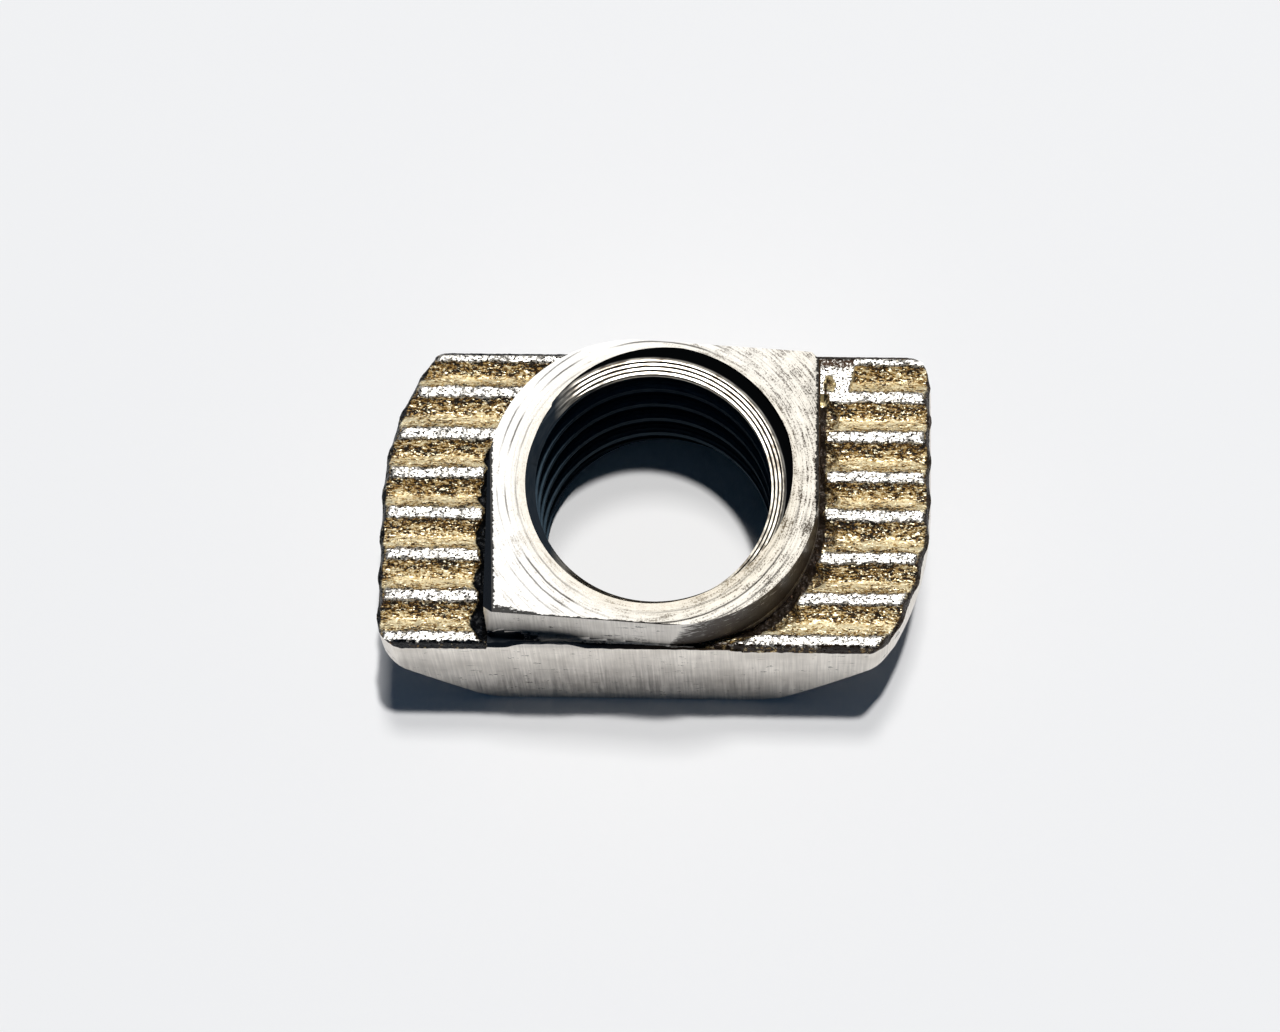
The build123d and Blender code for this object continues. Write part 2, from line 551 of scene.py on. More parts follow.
@dataclass(frozen=True)
class FacedNickel(Finish):
    """The collar's faced top: bright plate, brushed along faint turning arcs.

    It is painted whitest towards the left and rear and darker and warmer towards the right, a
    painted light gradient; it is also darker and warmer towards the bore's mouth.
    """

    turn: float = 0.0
    front_edge: float = 0.0
    light: str = "#D6D4D0"
    dark: str = "#98938C"
    # Painted light gradient: the colours towards the right.
    side_light: str = "#CAC5BB"
    side_dark: str = "#453E36"
    straw: str = "#9C8A62"
    groove: str = "#16110D"
    # Painted shade and dirt along the top's edges.
    shade_and_grime: str = "#060505"
    feed: float = 0.07
    brush: Triple = (0.035, 0.5, 0.5)
    mottle: float = 0.032
    scores: tuple[tuple[float, float], ...] = ((2.78, 0.8), (2.63, 0.9), (2.97, 0.4), (2.44, 0.5))
    score_width: float = 0.022

    def looks(self, node: Node, place: Any) -> dict[str, Any]:
        """Adds brushed arcs about the bore axis, scored lines, a painted light gradient, and painted
        shade with dirt along the edges.

        Args:
            node: Adds a node to the tree.
            place: Object coordinates, in millimetres.

        Returns:
            Name of each shader input to what feeds it.
        """
        radius = from_axis(node, place)
        along, across, _ = node("SeparateXYZ", (place,), None).outputs
        arcs = grain(node, node("CombineXYZ", (radius,)), self.feed, 2.0, 0.7)
        brush = grain(node, node("CombineXYZ", (radius, along, across)), self.brush, 4.0, 0.7)
        mottle = grain(node, place, self.mottle, 3.0, 0.7)
        drift = node("MapRange", (grain(node, place, 0.35, 2.0), 0.3, 0.7, -0.10, 0.10))
        # Painted light gradient: lighter towards the left and rear, darker towards the right.
        slant = node("VectorMath", (place, (0.9, -0.25, 0.0)), operation="DOT_PRODUCT")
        aside = node("MapRange", (slant, -1.2, 2.4))
        # Painted highlight at the rear left corner.
        corner = node("VectorMath", (place, (-0.7, 0.7, 0.0)), operation="DOT_PRODUCT")
        bright_share = node("MapRange", (corner, 1.5, 2.3, 0.0, 0.12))
        shift = node("MapRange", (aside, 0, 1, 0.03, -0.05))
        pale = node("MapRange", (gather(node, "ADD", brush, mottle, drift, bright_share, shift), 0.78, 0.98))
        high = coat(node, self.light, (aside, self.side_light))
        near = node("MapRange", (radius, 2.3, 2.7, 0.55, 0.0))
        warm = gather(node, "MULTIPLY", near, brush)
        grooved = node("MapRange", (self.grooves(node, place, radius, arcs), 0, 1, 0.0, 0.9))
        # Painted shade with dirt inside the top's edges.
        dark_edges = self.edge_shade_and_grime(node, place, along)
        duller, rougher = self.roughness - 0.05, self.roughness + 0.07
        relief = node("Bump", {"Height": arcs, "Strength": 0.35, "Distance": 0.014 * MM})
        fine = {"Height": brush, "Strength": 0.5, "Distance": 0.008 * MM, "Normal": relief}
        return {
            "Base Color": coat(node, self.dark, (aside, self.side_dark), (pale, high),
                               (warm, self.straw), (grooved, self.groove), (dark_edges, self.shade_and_grime)),
            "Roughness": node("MapRange", (mottle, 0.3, 0.7, duller, rougher)),
            "Normal": node("Bump", fine),
        }

    def grooves(self, node: Node, place: Any, radius: Any, arcs: Any) -> Any:
        """Adds the dark turning lines: faint ones here and there, and a few deep scores.

        Args:
            node: Adds a node to the tree.
            place: Object coordinates, in millimetres.
            radius: Their distance from the bore's axis.
            arcs: Noise that runs round that axis.

        Returns:
            The groove output, from 0 to 1.
        """
        gaps = node("MapRange", (grain(node, place, 1.3, 1.0), 0.4, 0.62))
        line = node("MapRange", (arcs, 0.58, 0.70))
        found = [gather(node, "MULTIPLY", line, gaps)]
        wander = node("MapRange", (grain(node, place, 0.5), 0.2, 0.8, -0.012, 0.012))
        run_out = gather(node, "ADD", radius, wander)
        width = self.score_width
        for reach, strength in self.scores:
            gap = off_line(node, run_out, reach)
            score = node("MapRange", (gap, 0.3 * width, width, strength, 0.0))
            patches = grain(node, place, (1.1, 1.1, reach), 1.0)
            fade = node("MapRange", (patches, 0.42, 0.58, 0.1, 1.0))
            found.append(gather(node, "MULTIPLY", score, fade))
        return gather(node, "MAXIMUM", *found)

    def edge_shade_and_grime(self, node: Node, place: Any, along: Any) -> Any:
        """Adds ragged painted shade with dirt inside the front, left and right edges of the top.

        Args:
            node: Adds a node to the tree.
            place: Object coordinates, in millimetres.
            along: Their X.

        Returns:
            The painted shade and dirt share, from 0 to 1.
        """
        torn = grain(node, place, (0.10, 0.06, 0.06), 3.0, 0.6)
        shift = node("MapRange", (torn, 0.3, 0.7, -0.5, 0.5))
        corner = node("MapRange", (along, -2.85, -1.9, 0.16, 0.03))
        sine, cosine = math.sin(self.turn), math.cos(self.turn)
        found = []
        for way, edge, reach in (
            ((sine, cosine, 0.0), self.front_edge - AXIS_Y * cosine, corner),
            ((1.0, 0.045, 0.0), 2.892, 0.05),
            ((-1.0, 0.0, 0.0), 2.93, 0.06),
        ):
            in_line = node("VectorMath", (place, way), operation="DOT_PRODUCT")
            share = gather(node, "DIVIDE", gather(node, "ADD", in_line, edge), reach)
            ragged = gather(node, "ADD", share, shift)
            found.append(node("MapRange", (ragged, 0.75, 1.0, 0.94, 0.0)))
        return gather(node, "MAXIMUM", *found)


@dataclass(frozen=True)
class SerratedNickel(Finish):
    """The ridged wings: worn bright crests over grainy valleys stained golden brown, with painted
    shade and light across each valley.

    The valleys sparkle, because the plate's grains lie at all angles, so some of them are turned
    towards the light; those grains are also given the palest tint, a painted highlight.
    """

    crest: str = "#F8F4EC"
    speck: str = "#140E0A"
    # The tints run from painted shade to painted light, in the plating's golden brown.
    tints: tuple[str, ...] = ("#120C08", "#4C3014", "#9A7230", "#DDBB74", "#FFF3CE")
    # Painted shade and staining colours, for the left and the right.
    left_shade_and_stain: str = "#0B0E12"
    right_shade_and_stain: str = "#2B2119"
    grit: float = 0.042

    def looks(self, node: Node, place: Any) -> dict[str, Any]:
        """Adds gritty valleys, painted dark behind each crest and pale before it as shade and light,
        and clean crests.

        Args:
            node: Adds a node to the tree.
            place: Object coordinates, in millimetres.

        Returns:
            Name of each shader input to what feeds it.
        """
        along, _, height = node("SeparateXYZ", (place,), None).outputs
        size = self.grit
        grit = grain(node, place, (size * 2.0, size, size), 3.0, 0.75)
        drawn = grain(node, place, (size * 7, size * 1.6, size * 3), 3.0, 0.6)
        level = gather(node, "ADD", height, node("MapRange", (grit, 0.3, 0.7, -0.026, 0.026)))
        worn = node("MapRange", (level, CREST_HEIGHT - 0.038, CREST_HEIGHT - 0.027))
        # Painted light and shade across each valley, noted on the mesh.
        tone = node("Attribute", out="Fac", attribute_name=PAINTED_LIGHT)
        fine = node("MapRange", (grit, 0.37, 0.63, -0.62, 0.62))
        long = node("MapRange", (drawn, 0.35, 0.65, -0.20, 0.20))
        patch = node("MapRange", (grain(node, place, (0.32, 0.14, 0.2), 1.0), 0.3, 0.7, -0.36, 0.28))
        tint = node("ValToRGB", (gather(node, "ADD", tone, fine, long, patch),), None)
        for step, code in enumerate(self.tints):
            spot = step / (len(self.tints) - 1)
            band = tint.color_ramp.elements
            stop = band[step] if step < 2 else band.new(spot)
            stop.position, stop.color = spot, linear(code)
        # Glint specks: normals turned up towards the lamp, and a painted highlight in the palest
        # tint.
        sparks = grain(node, place, (size * 1.6, size * 0.8, size), 2.0, 0.7)
        paler = node("MapRange", (tone, 0.2, 0.8, -0.05, 0.04))
        glint = node("MapRange", (gather(node, "ADD", sparks, paler), 0.555, 0.60))
        dents = grain(node, place, (size * 1.1, size * 0.8, size), 2.0, 0.7)
        scuffed = node("MapRange", (tone, 1.3, 1.8, 0.0, 0.03))
        speck = node("MapRange", (gather(node, "ADD", dents, scuffed), 0.52, 0.56))
        bright = coat(node, self.crest, (speck, self.speck))
        # Painted shade and staining: blue-black on the left, brown on the right.
        side = node("MapRange", (along, -1, 1))
        shade_and_stain = coat(node, self.left_shade_and_stain, (side, self.right_shade_and_stain))
        metal = node("MapRange", (worn, 0, 1, 0.35, 1.0))
        force = node("MapRange", (worn, 0, 1, 0.8, 0.3))
        both = gather(node, "ADD", grit, drawn)
        relief = node("Bump", {"Height": both, "Strength": force, "Distance": 0.03 * MM})
        facet = node("CombineXYZ", {"Z": glint})
        turned = node("VectorMath", (relief, facet), operation="ADD")
        return {
            "Base Color": coat(node, tint.outputs[0], (glint, self.tints[-1]), (worn, bright),
                               (self.shade_and_soil(node, place), shade_and_stain)),
            "Metallic": gather(node, "MAXIMUM", metal, glint),
            "Roughness": node("MapRange", (worn, 0, 1, self.roughness - 0.07, self.roughness)),
            "Normal": node("VectorMath", (turned,), operation="NORMALIZE"),
        }


@dataclass(frozen=True)
class TappedNickel(Finish):
    """The tapped bore: clean bright metal at the mouth, and painted shade below it and at its left.
    """

    mouth_height: float = 3.85
    rim_height: float = 4.35
    root_radius: float = 2.34
    light: str = "#DDD6C8"
    worn: str = "#6E665B"
    # Painted shade: the bore's darker colours, below its mouth and at its left.
    shaded_mark: str = "#44545F"
    dark: str = "#384651"
    deep_shade: str = "#1E2831"
    black_shade: str = "#030405"
    cut: Triple = (0.25, 0.25, 0.03)

    def looks(self, node: Node, place: Any) -> dict[str, Any]:
        """Adds drawn-out cutting marks along the thread, with painted shade lower down and at the
        left.

        Args:
            node: Adds a node to the tree.
            place: Object coordinates, in millimetres.

        Returns:
            Name of each shader input to what feeds it.
        """
        marks = grain(node, place, self.cut, 3.0)
        share = node("MapRange", (marks, 0.35, 0.65))
        along, _, height = node("SeparateXYZ", (place,), None).outputs
        radius = from_axis(node, place)
        level, edge, rim = self.mouth_height, self.root_radius, self.rim_height
        chamfer = node("MapRange", (height, rim, rim + 0.04))
        # Painted shade at the bore's left: its bright metal is kept towards the middle and right.
        lit = gather(node, "MULTIPLY", node("MapRange", (along, -1.8, -1.3)), chamfer)
        side = gather(node, "MAXIMUM", node("MapRange", (along, -1.45, -0.75, 0.02, 1.0)), lit)
        bright_share = node("MapRange", (radius, edge, edge + 0.03, 1.0, 0.0))
        upper = node("MapRange", (height, level - 0.25, level + 0.15))
        bright = gather(node, "MULTIPLY", upper, bright_share, side)
        open_air = node("MapRange", (height, level - 0.1, level + 0.1))
        inner = node("MapRange", (open_air, 0, 1, 1.0, 0.0))
        # Painted shade in the grooves below the mouth and on the mouth's chamfer.
        hollow = gather(node, "MULTIPLY", node("MapRange", (radius, 2.13, 2.25)), inner)
        deep_shaded = gather(node, "MAXIMUM", hollow, chamfer)
        # Painted black shade on the outer flanks of the turns that lie open at the mouth.
        root = node("MapRange", (radius, edge, edge + 0.03))
        black_shaded = gather(node, "MULTIPLY", root, open_air)
        high = coat(node, self.worn, (share, self.light))
        relief = {"Height": marks, "Strength": 0.4, "Distance": 0.008 * MM}
        # The bore is painted dark as shade, mottled by the cutting marks, with bright metal at the
        # mouth.
        return {
            "Base Color": coat(node, self.dark, (share, self.shaded_mark), (deep_shaded, self.deep_shade),
                               (black_shaded, self.black_shade), (bright, high)),
            "Metallic": node("MapRange", (bright, 0, 1, 0.1, 1.0)),
            "Specular IOR Level": node("MapRange", (bright, 0, 1, 0.04, 0.5)),
            "Roughness": node("MapRange", (bright, 0, 1, 0.85, self.roughness)),
            "Normal": node("Bump", relief),
        }


# ---------------------------------------------------------------- the nut's own forms
@dataclass
class Collar:
    """The raised collar that guides on the slot lips, and the outline of its foot."""

    length: float = 5.90
    width: float = 5.27
    turn: float = math.radians(3.7)
    corner_radius: float = 2.60
    top: float = HEIGHT
    root: float = 1.6
    left_break: float = 0.17
    right_break: float = 0.04
    break_share: float = 0.72
    facet: float = 0.22
    edge_softness: float = 0.045
    corner_steps: int = 48

    def across(self, x: float, y: float) -> float:
        """Measures along the collar's own width, which is turned a little."""
        return (y - AXIS_Y) * math.cos(self.turn) + x * math.sin(self.turn)

    def clearance(self, x: float, y: float) -> float:
        """Measures how far a point on the head lies outside the collar's wall.

        Args:
            x: Along the head.
            y: Across it.

        Returns:
            The distance, negative under the collar.
        """
        across = self.across(x, y)
        corner = self.corner_radius if x * across < 0 else 0.0
        u = abs(x) - (self.length / 2 - corner)
        w = abs(across) - (self.width / 2 - corner)
        return math.hypot(max(u, 0), max(w, 0)) + min(max(u, w), 0.0) - corner

    def build(self) -> bpy.types.Object:
        """Extrudes the outline, then shaves both side edges and both square corners.

        Returns:
            The collar, reaching down into the head.
        """
        a, b = self.length / 2, self.width / 2
        sine, cosine = math.sin(self.turn), math.cos(self.turn)
        bm = bmesh.new()
        corners = [
            bm.verts.new((side * a, (face * b - side * a * sine) / cosine, self.root))
            for side, face in ((-1, 1), (-1, -1), (1, -1), (1, 1))
        ]
        bm.faces.new(corners)
        reach = self.corner_radius / math.tan(math.pi / 4 - self.turn / 2)
        for vert in (corners[0], corners[2]):
            soften(bm, [vert], reach, self.corner_steps, "VERTICES")
        raised = bmesh.ops.extrude_face_region(bm, geom=bm.faces[:])
        moved = [g for g in raised["geom"] if isinstance(g, bmesh.types.BMVert)]
        bmesh.ops.translate(bm, verts=moved, vec=(0, 0, self.top - self.root))
        bmesh.ops.recalc_face_normals(bm, faces=bm.faces[:])
        front = (a * sine - b) / cosine
        back = front + self.break_share * self.width
        drop = self.facet / math.sqrt(2)
        for turn, chamfer in ((1, self.left_break), (-1, self.right_break)):
            for low_z, reach, end in (
                (self.top - chamfer, chamfer, back),
                (CREST_HEIGHT, drop, front + drop),
            ):
                low = Vector((-turn * a, turn * front, low_z))
                high = Vector((turn * (reach - a), turn * front, self.top))
                side = Vector((-turn * a, turn * end, self.top))
                out = (high - low).cross(side - low)
                shave(bm, low, -out if out.x * turn > 0 else out, Zone.FORMED)
        settle(bm)
        soften(bm, sharp_edges(bm, 0.3, CREST_HEIGHT - 0.5), self.edge_softness, 3)
        mark(bm.faces, Zone.FORMED)
        mark([f for f in bm.faces if f.normal.z > 0.9], Zone.MACHINED)
        bmesh.ops.translate(bm, verts=bm.verts[:], vec=(0, AXIS_Y, 0))
        return as_object(bm, "collar")


@dataclass
class Serrations:
    """Ridges along both wings, coined into the head's top."""

    pitch: float = 0.762
    crest_inset: float = 0.03
    crest_width: float = 0.16
    depth: float = 0.27
    lowest: float = 0.46
    jag: float = 0.032
    # Painted light across a valley, from its rear crest to its front crest.
    light_curve: tuple[tuple[float, float], ...] = (
        (0.10, 0.18), (0.16, 0.24), (0.24, 0.28), (0.40, 0.44), (0.46, 0.60),
        (0.51, 0.92), (0.58, 0.84), (0.72, 0.72), (0.80, 0.52), (0.86, 0.34),
    )
    moat_width: float = 0.11
    moat_depth: float = 0.34
    land_length: float = 0.62
    notch: tuple[float, float] = (0.16, -0.62)
    half_width: float = WIDTH / 2
    half_length: float = LENGTH / 2
    top: float = CREST_HEIGHT
    rim: float = 0.20
    burr_middle: float = -1.90
    burr_height: float = 0.32
    fillet: float = 0.05
    crease: float = 0.05
    left_slips: tuple[float, ...] = (-0.05, 0.04, -0.01, 0.01, 0.01, -0.01, -0.02, -0.045)
    right_slips: tuple[float, ...] = (-0.04, 0.0, 0.0, 0.01, 0.04, 0.0, 0.0, -0.03)
    step_x: float = 0.030
    step_y: float = 0.020
    margin: float = 0.15
    foot: float = -1.0

    def crest_at(self, row: int, x: float) -> float:
        """Finds the middle line of one crest.

        Args:
            row: Its number from the +Y edge.
            x: Along the head; its sign picks the wing.

        Returns:
            The place across the head.
        """
        slips = self.left_slips if x < 0 else self.right_slips
        slip = slips[row] if 0 <= row < len(slips) else 0.0
        wander = 0.018 * ripple(x, row * 4.7, 11.0, 0.9)
        return self.half_width - self.crest_inset - row * self.pitch + slip + wander

    def valley(self, x: float, y: float) -> tuple[int, float, float]:
        """Finds the two crests that a point lies between.

        Args:
            x: Along the head.
            y: Across it.

        Returns:
            The number of the rear crest, and the distances to it and to the front one.
        """
        row = math.floor((self.half_width - self.crest_inset - y) / self.pitch)
        if y > self.crest_at(row, x):
            row -= 1
        elif y < self.crest_at(row + 1, x):
            row += 1
        return row, self.crest_at(row, x) - y, y - self.crest_at(row + 1, x)

    def crest_distance(self, x: float, y: float) -> tuple[float, int]:
        """Finds the nearest crest: its distance and its number from the +Y edge."""
        row, rear, front = self.valley(x, y)
        return (rear, row) if rear < front else (front, row + 1)

    def end_distance(self, x: float, y: float) -> float:
        """Measures how far a point lies inside the nearer end of the head."""
        return self.half_length - (math.hypot(x, y) if x * y < 0 else abs(x))

    def on_land(self, x: float, y: float, collar: Collar) -> float:
        """Says how much of the smeared land beside one collar corner a point is on.

        Args:
            x: Along the head.
            y: Across it.
            collar: The collar beside it.

        Returns:
            The share, from 0 to 1.
        """
        out = x - collar.length / 2
        back = self.half_width - y
        if out < -0.3 or back > self.pitch + 0.1:
            return 0.0
        edge = self.land_length - 0.16 * back + 0.02 * ripple(x, y, 3.0, 0.12)
        share = 1 - smoothstep(edge, edge + 0.035, out)
        away_x, away_y = out - self.notch[0], back + self.notch[1]
        hole = math.hypot(away_x / 0.10, away_y / 0.24) + 0.25 * ripple(x, y, 8.0, 0.1)
        return share * smoothstep(0.8, 1.1, hole)

    def moat(self, x: float, y: float, wall: float, collar: Collar) -> float:
        """Says how far a point is into the torn groove round the collar's foot.

        Args:
            x: Along the head.
            y: Across it.
            wall: Its distance from the collar's wall.
            collar: The collar.

        Returns:
            The share, from 0 to 1.
        """
        away, row = self.crest_distance(x, y)
        wide = self.moat_width * (1 + 0.7 * ripple(x * 0.3, y, row, 0.30))
        wide += (0.13 if x < 0 else 0.20) * smoothstep(0.06, 0.3, away)
        if x < 0:
            wide += 0.07 * (1 - smoothstep(-2.5, 0.3, y))
        before = abs(collar.across(x, y)) - collar.width / 2
        beside = abs(x) - collar.length / 2
        facing = smoothstep(-0.5, 0.0, beside - before)
        if x > 0 > y:
            facing = smoothstep(-2.8, -2.1, y)
        elif x < 0:
            facing *= smoothstep(-2.74, -2.58, y)
        return facing * (1 - smoothstep(wide - 0.05, wide + 0.04, wall))

    def ridge(self, x: float, y: float) -> float:
        """Shapes the ragged crests and the grainy valleys between them.

        Args:
            x: Along the head.
            y: Across it.

        Returns:
            The depth below the crests' height.
        """
        row, rear, front = self.valley(x, y)
        rear_jag = ripple(x, row * 3.1, 0.0, 0.075) + 0.7 * ripple(x, row * 5.3, 4.0, 0.22)
        front_jag = ripple(x, row * 7.9, 2.0, 0.06) + 0.7 * ripple(x, row * 1.9, 6.0, 0.3)
        flat_rear = self.crest_width / 2 + self.jag * rear_jag
        flat_front = self.crest_width / 2 + self.jag * front_jag
        if rear < flat_rear or front < flat_front:
            return 0.012 + 0.024 * ripple(x, y, 2.0, 0.06)
        part = (rear - flat_rear) / (rear + front - flat_rear - flat_front)
        low = self.lowest + 0.05 * ripple(x, row * 3.3, 5.0, 0.3)
        slope = part / low if part < low else (1 - part) / (1 - low)
        drop = self.depth * (1 + 0.16 * ripple(x * 0.6, row * 2.3, 9.0, 0.5))
        drop *= slope**0.9
        drop += 0.020 * ripple(x * 0.45, y, 1.0, 0.065)
        return drop + 0.012 * ripple(x * 0.6, y, 7.0, 0.035)

    def height(self, x: float, y: float, collar: Collar) -> float:
        """Works out the height of the wings' top.

        Args:
            x: Along the head.
            y: Across it.
            collar: The collar that the ridges stop at.

        Returns:
            The height above the underside.
        """
        wall = collar.clearance(x, y)
        if wall < -0.15:
            return self.top - self.moat_depth
        drop = self.ridge(x, y)
        level = 0.012 + 0.012 * ripple(x, y, 2.0, 0.12)
        drop += (level - drop) * self.on_land(x, y, collar)
        if y < AXIS_Y + 2.1 or x < 0:
            sink = self.moat(x, y, wall, collar)
            rough = 0.10 * ripple(x, y * 0.35, 6.0, 0.09) + 0.05 * ripple(x, y, 3.0, 0.05)
            drop += sink * (max(self.moat_depth - drop, 0.0) + rough)
        edge = self.end_distance(x, y) + 0.03 * ripple(x, self.valley(x, y)[0] * 3.7, 8.0, 0.2)
        if edge < self.rim:
            short = min(self.rim, self.rim - edge)
            fall = self.rim - math.sqrt(max(self.rim**2 - short**2, 0.0))
            drop = max(drop, 1.3 * fall + 0.02 * ripple(x, y, 4.0, 0.06))
        side = self.half_width - abs(y)
        if self.in_strip(x, y, collar):
            flare = max(self.fillet, wall + side - self.crease)
            near = flare - min(wall, flare)
            drop = math.sqrt(flare**2 - near**2) - flare
            drop *= smoothstep(-2.95, -2.70, x)
        drop += 0.06 * (1 - smoothstep(0.0, 0.07, side))
        if y < -2.6:
            drop -= self.burr(x, y)
        return self.top - drop

    def in_strip(self, x: float, y: float, collar: Collar) -> bool:
        """Tells whether a point is on the narrow strip before the collar's front wall."""
        return collar.across(x, y) < -collar.width / 2 and -collar.length / 2 < x < 1.6

    def hump(self, x: float) -> float:
        """Says how much of the torn burr stands at a place along the front edge."""
        return 1 - smoothstep(0.35, 0.80, abs(x - self.burr_middle))

    def burr(self, x: float, y: float) -> float:
        """Raises the torn lip along the front edge.

        Args:
            x: Along the head.
            y: Across it.

        Returns:
            How far the lip stands up.
        """
        lip = smoothstep(self.half_width - 0.12, self.half_width - 0.01, -y)
        shape = 0.8 + 0.3 * ripple(x, 1.0, 5.0, 0.3)
        return lip * (self.burr_height * self.hump(x) * shape + 0.03 * ripple(x, 4.0, 1.0, 0.16))

    def tone(self, x: float, y: float, collar: Collar) -> float:
        """Says how much painted light falls at a point of the wings, dark behind each crest and pale
        before it.

        Args:
            x: Along the head.
            y: Across it.
            collar: The collar, towards which each pale strip tapers.

        Returns:
            The painted light, from 0 in painted shade to 1 where it is palest, and 2 on the smeared
            land.
        """
        row, rear, front = self.valley(x, y)
        ends = min(self.end_distance(x, y), collar.clearance(x, y) - 0.12)
        part = rear / (rear + front)
        part += 0.045 * ripple(x, row * 5.9, 3.0, 0.35) + 0.02 * ripple(x, y, 9.0, 0.06)
        part -= 0.18 * (1 - smoothstep(0.0, 0.35, ends)) * smoothstep(0.4, 0.5, part)
        # Painted light: dark behind each crest, pale before it, the pale part narrower near the
        # ends.
        pale = read_curve(self.light_curve, part) + 0.12 * ripple(x * 0.7, row * 2.1, 5.0, 0.45)
        return max(pale, 2 * self.on_land(x, y, collar))

    def shade_and_soil(self, spot: Vector, normal: Vector, zone: Zone, collar: Collar) -> float:
        """Says how dark a point of the wings is painted, as painted shade and staining.

        Args:
            spot: The point, in millimetres.
            normal: The way the surface faces.
            zone: The surface that it is on.
            collar: The collar, whose foot holds most of the painted shade.

        Returns:
            The share, over 1 where nothing shows through.
        """
        x, y, z = spot
        wall = collar.clearance(x, y)
        if zone == Zone.FORMED:
            return self.wall_painted_shade(spot, normal, wall, collar)
        sunk = self.moat(x, y, wall, collar) * (1 - self.on_land(x, y, collar))
        # Painted shade in the groove round the collar's foot.
        foot = 1.5 * smoothstep(0.1, 0.5, sunk)
        if x > 0:
            foot *= 1 - 0.55 * smoothstep(0.06, 0.13, wall)
        deep = smoothstep(self.top - 0.4, self.top - 0.2, z)
        lip = smoothstep(self.half_width - 0.15, self.half_width - 0.10, -y)
        lip *= 0.90 + 0.7 * ripple(x, y * 0.5, 6.0, 0.09)
        land = 0.85 * self.on_land(x, y, collar) * smoothstep(2.40, 2.62, y)
        # Painted shade at the crest ends and along the head's ends.
        inside = self.end_distance(x, y)
        end = 1 - smoothstep(0.02, 0.16, inside)
        near = 1 - smoothstep(0.12, 0.22, self.crest_distance(x, y)[0])
        edge = 0.95 * (1 - smoothstep(0.02, 0.09, inside))
        first = 1.2 * smoothstep(self.half_width - 0.07, self.half_width - 0.02, y)
        return max(foot, 1.1 * deep * end * near, edge, lip, first, land)

    def wall_painted_shade(self, spot: Vector, normal: Vector, wall: float, collar: Collar) -> float:
        """Says how much painted shade lies on the collar's walls and on the strip before its foot.

        Args:
            spot: The point, in millimetres.
            normal: The way the surface faces.
            wall: The point's distance from the collar's wall.
            collar: The collar.

        Returns:
            The share, over 1 where nothing shows through.
        """
        x, y, z = spot
        if z < self.top - 0.2 or (y < 0.01 - self.half_width and normal.z < 0.4):
            return 0.0
        # Painted shade on the strip before the collar's front wall.
        if self.in_strip(x, y, collar) and wall > 0.02:
            rim = self.half_width + y
            flare = max(self.fillet, wall + rim - self.crease)
            lip = self.hump(x) * (1 - smoothstep(0.015, 0.04, rim))
            lip *= 1 - smoothstep(0.5, 0.75, normal.z)
            corner = 1 - smoothstep(-2.4, -2.1, x)
            return 1.5 * max(corner, smoothstep(0.55, 0.8, wall / flare)) * (1 - lip)
        # Painted shade on the collar's rounded top edge and on its left chamfer.
        rounding = 0.0
        if z > collar.top - 0.1:
            rounding = smoothstep(0.15, 0.25, normal.z) * (1 - smoothstep(0.8, 0.9, normal.z))
        left = smoothstep(0.35, 0.6, -normal.x) * smoothstep(-0.6, -0.4, normal.y)
        left *= smoothstep(0.05, 0.15, normal.z)
        return max(1.4 * left, rounding)

    def build(self, collar: Collar) -> bpy.types.Object:
        """Raises a fine grid to the ridges' height and closes it below.

        Args:
            collar: The collar that the ridges stop at.

        Returns:
            A block with the serrated top, larger than the head all round.
        """
        long, wide = self.half_length + self.margin, self.half_width + self.margin
        columns, rows = round(2 * long / self.step_x), round(2 * wide / self.step_y)
        bm = bmesh.new()
        bmesh.ops.create_grid(bm, x_segments=columns, y_segments=rows, size=1.0)
        for vert in bm.verts:
            x, y = vert.co.x * long, vert.co.y * wide
            vert.co = (x, y, self.height(x, y, collar))
        rim = [e for e in bm.edges if e.is_boundary]
        skirt = bmesh.ops.extrude_edge_only(bm, edges=rim)["geom"]
        for vert in (g for g in skirt if isinstance(g, bmesh.types.BMVert)):
            vert.co.z = self.foot
        cap(bm)
        mark(bm.faces, Zone.SERRATED)
        return as_object(bm, "serrated_block")


